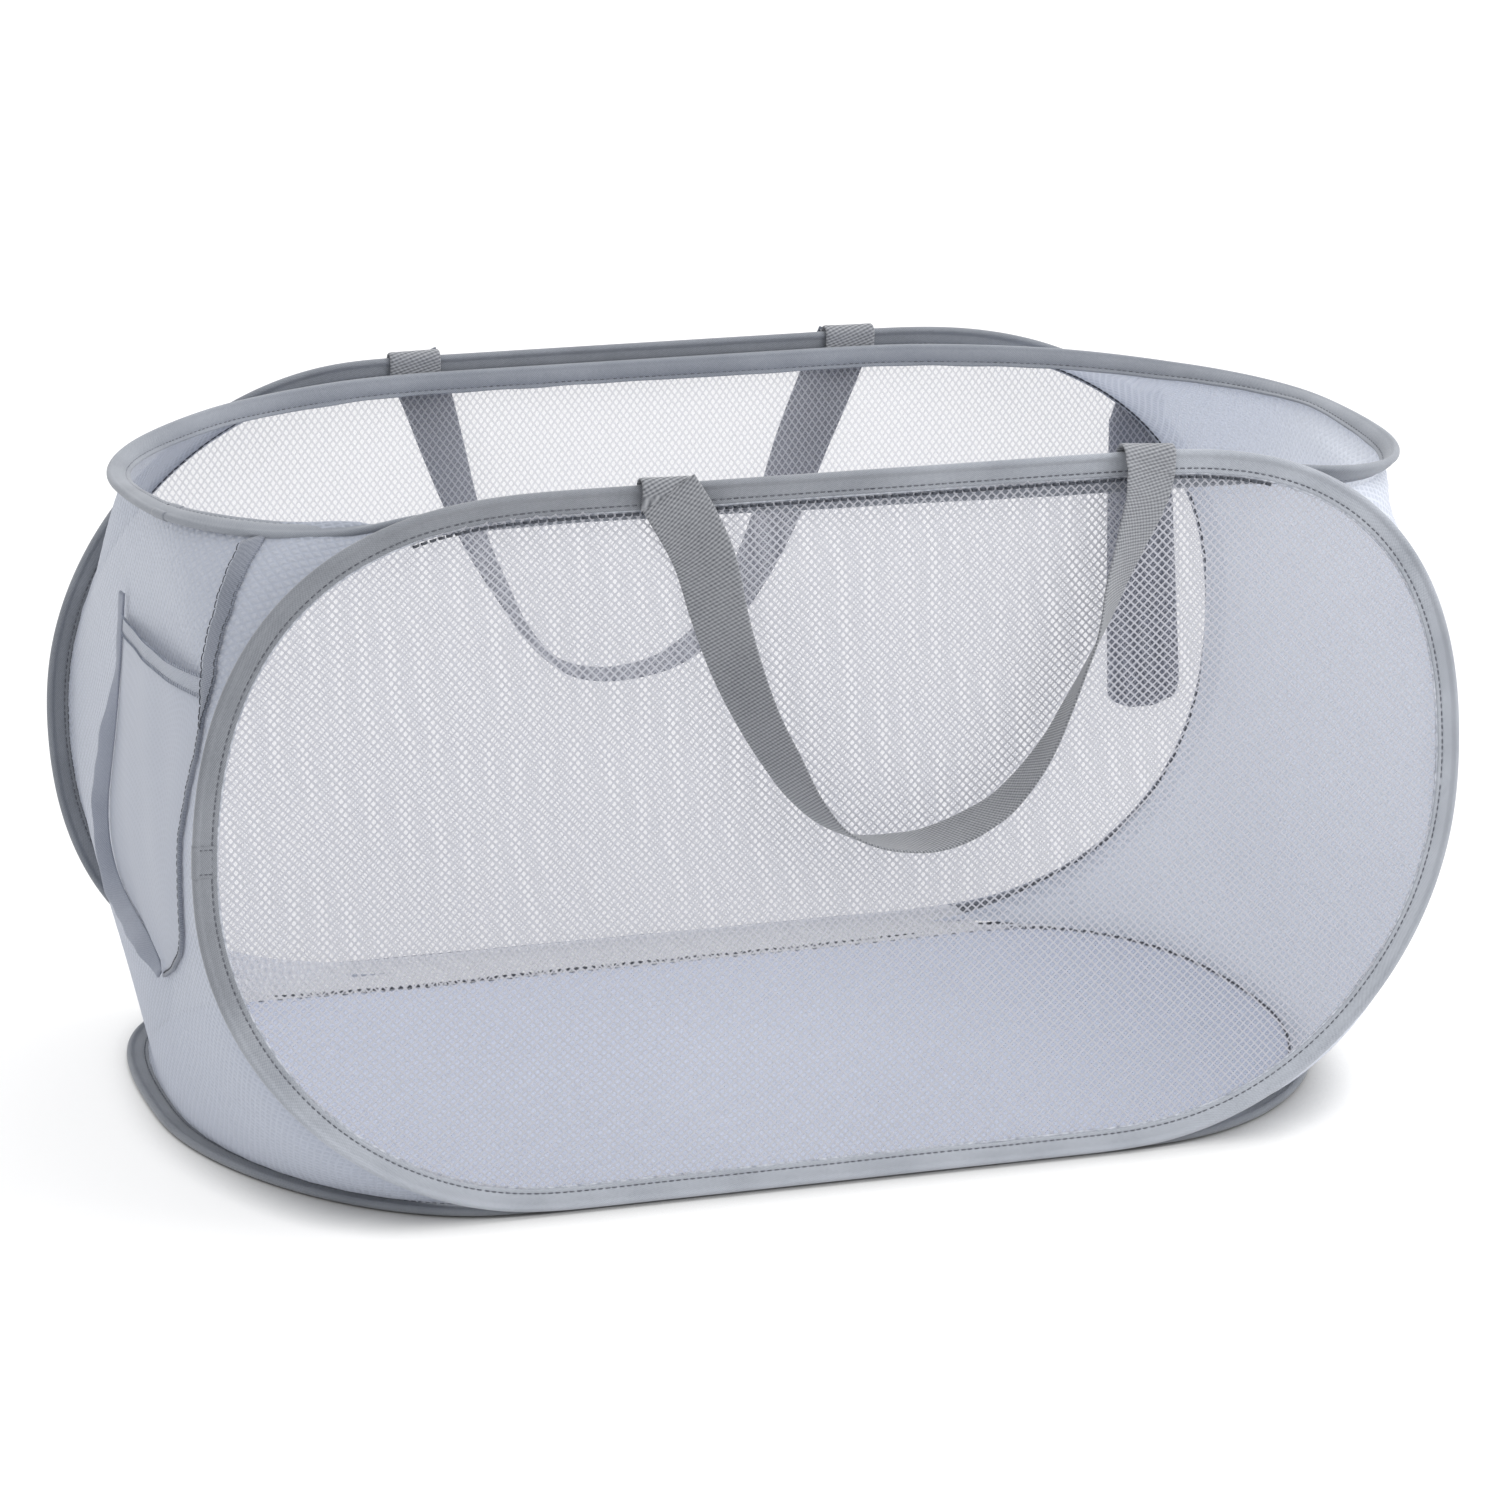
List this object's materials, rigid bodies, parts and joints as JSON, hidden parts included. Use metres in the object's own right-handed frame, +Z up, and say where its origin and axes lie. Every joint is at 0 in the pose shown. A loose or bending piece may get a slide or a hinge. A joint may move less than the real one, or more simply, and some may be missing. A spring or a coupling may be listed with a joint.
{
  "type": "pop up laundry hamper",
  "caption": "Rectangular pop-up laundry hamper: sprung hoops in twill tape carry mesh walls and ends, with two webbing handles, an end pocket and a closure strap.",
  "frame": {"origin": "centre of the bounding box at floor level", "axes": "+X along the length, front panel and its handle at -Y, +Z up"},
  "size_m": [0.6422, 0.4204, 0.3418],
  "materials": {
    "binding_tape": "matte",
    "net": "matte",
    "webbing": "matte",
    "dark_strap": "matte",
    "spring_steel": "satin"
  },
  "bodies": {
    "bottom": {"bottom_binding_tape": "binding_tape", "bottom_wire_hoop": "spring_steel", "bottom_wire_ferrule": "spring_steel", "floor_mesh_panel": "net", "left_end_gore_bottom": "net", "right_end_gore_bottom": "net", "pocket_mesh_panel": "net", "pocket_hem": "net", "pocket_back_binding": "binding_tape", "pocket_front_seam": "dark_strap"},
    "front": {"front_binding_tape": "binding_tape", "front_wire_hoop": "spring_steel", "front_wire_ferrule": "spring_steel", "front_mesh_panel": "net", "left_end_gore_front": "net", "right_end_gore_front": "net", "front_handle_loop_left": "webbing", "front_handle_loop_right": "webbing"},
    "back": {"back_binding_tape": "binding_tape", "back_wire_hoop": "spring_steel", "back_wire_ferrule": "spring_steel", "back_mesh_panel": "net", "left_end_gore_back": "net", "right_end_gore_back": "net", "back_handle_loop_left": "webbing", "back_handle_loop_right": "webbing", "closure_strap_tab": "dark_strap"},
    "top": {"top_binding_tape": "binding_tape", "top_wire_hoop": "spring_steel", "top_wire_ferrule": "spring_steel", "left_end_gore_top": "net", "right_end_gore_top": "net"},
    "front_handle": {"front_handle": "webbing"},
    "back_handle": {"back_handle": "webbing"},
    "closure_strap": {"closure_strap": "dark_strap", "closure_hook_patch": "dark_strap"}
  },
  "joints": [
    {"name": "fold", "type": "hinge", "parent": "bottom", "child": "front", "pos_m": [-0.0109, -0.17179, 0.01], "axis": [-1, 0, 0], "range_deg": [0, 88], "stiffness_Nm_per_rad": 0.6, "springref_deg": -45.84, "deforming": ["left_end_gore_bottom", "right_end_gore_bottom", "left_end_gore_front", "right_end_gore_front", "pocket_mesh_panel", "pocket_hem", "pocket_back_binding", "pocket_front_seam"]},
    {"name": "fold_back", "type": "hinge", "parent": "bottom", "child": "back", "pos_m": [-0.0109, 0.17821, 0.0056], "axis": [-1, 0, 0], "range_deg": [0, 88], "deforming": ["left_end_gore_back", "right_end_gore_back"]},
    {"name": "fold_top", "type": "hinge", "parent": "front", "child": "top", "pos_m": [-0.0109, -0.17619, 0.3162], "axis": [-1, 0, 0], "range_deg": [-88, 0], "deforming": ["left_end_gore_top", "right_end_gore_top"]},
    {"name": "front_handle_swing", "type": "hinge", "parent": "front", "child": "front_handle", "pos_m": [0.0141, -0.18283, 0.32563], "axis": [-1, 0, 0], "range_deg": [0, 170]},
    {"name": "back_handle_swing", "type": "hinge", "parent": "back", "child": "back_handle", "pos_m": [-0.0029, 0.18031, 0.3118], "axis": [1, 0, 0], "range_deg": [0, 170]},
    {"name": "closure_strap_swing", "type": "hinge", "parent": "back", "child": "closure_strap", "pos_m": [0.2841, 0.18041, 0.27705], "axis": [1, 0, 0], "range_deg": [0, 170]}
  ],
  "couplings": [
    {"joint": "fold_back", "follows": "fold", "ratio": 1},
    {"joint": "fold_top", "follows": "fold", "ratio": -1}
  ]
}
